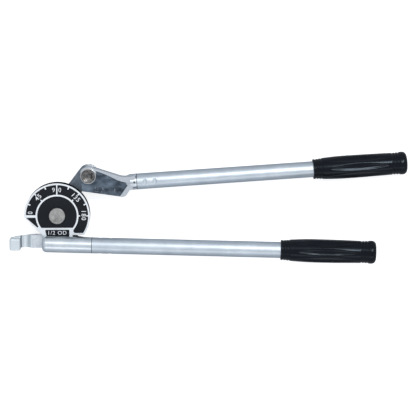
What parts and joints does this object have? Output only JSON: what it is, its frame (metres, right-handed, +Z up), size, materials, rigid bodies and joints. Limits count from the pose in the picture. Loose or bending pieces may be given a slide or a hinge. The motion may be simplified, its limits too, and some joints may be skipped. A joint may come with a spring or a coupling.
{
  "type": "tube bender",
  "caption": "Lever-type hand tube bender: grooved forming wheel with a degree dial, forming shoe on a swinging link, hinged tube latch and two long gripped handles.",
  "frame": {"origin": "centre of the footprint of the tool as it lies on its back on a bench, at the bench's surface", "axes": "+X along the handles, from the wheel to the grips, +Y from the fixed handle to the moving one, +Z up from the bench, with the dial facing up and leaning towards -Y"},
  "size_m": [0.4772, 0.1367, 0.046],
  "materials": {
    "dial_plate": "satin enamel with bare raised marks",
    "forming_wheel": "satin black enamel over casting",
    "cast_steel": "cast, plated, satin",
    "plated_tube": "bright plated, softly brushed",
    "pin_steel": "turned and passivated",
    "spring_steel": "phosphated",
    "bronze": "sintered bronze",
    "grip_vinyl": "gloss black vinyl",
    "black_screw": "black oxide"
  },
  "bodies": {
    "frame": {"forming_wheel": "forming_wheel", "dial_plate": "dial_plate", "dial_rivet": "pin_steel", "center_pivot_pin": "pin_steel", "center_pin_ring": "spring_steel", "center_washer": "bronze", "handle_socket": "cast_steel", "socket_screws": "black_screw", "fixed_handle_tube": "plated_tube", "fixed_handle_grip": "grip_vinyl", "latch_hinge_pin": "pin_steel"},
    "link": {"link_arm": "cast_steel", "link_bush": "bronze", "shoe_pivot_pin": "pin_steel", "shoe_pin_ring": "spring_steel", "shoe_washer": "bronze"},
    "lever": {"forming_shoe": "cast_steel", "shoe_bush": "bronze", "moving_handle_tube": "plated_tube", "moving_handle_grip": "grip_vinyl"},
    "latch": {"tube_latch_hook": "cast_steel", "latch_wave_washer": "spring_steel"}
  },
  "joints": [
    {"name": "link_swing", "type": "hinge", "parent": "frame", "child": "link", "pos_m": [-0.18098, -0.0056, 0.0183], "axis": [0.0412, -0.2184, 0.975], "range_deg": [-52, 128]},
    {"name": "shoe_pivot", "type": "hinge", "parent": "link", "child": "lever", "pos_m": [-0.14332, 0.04093, 0.02713], "axis": [0.0412, -0.2184, 0.975], "range_deg": [-30, 60]},
    {"name": "latch_swing", "type": "hinge", "parent": "frame", "child": "latch", "pos_m": [-0.20719, -0.03527, 0.00661], "axis": [0.0092, 0.9759, 0.2182], "range_deg": [-90, 0]}
  ]
}
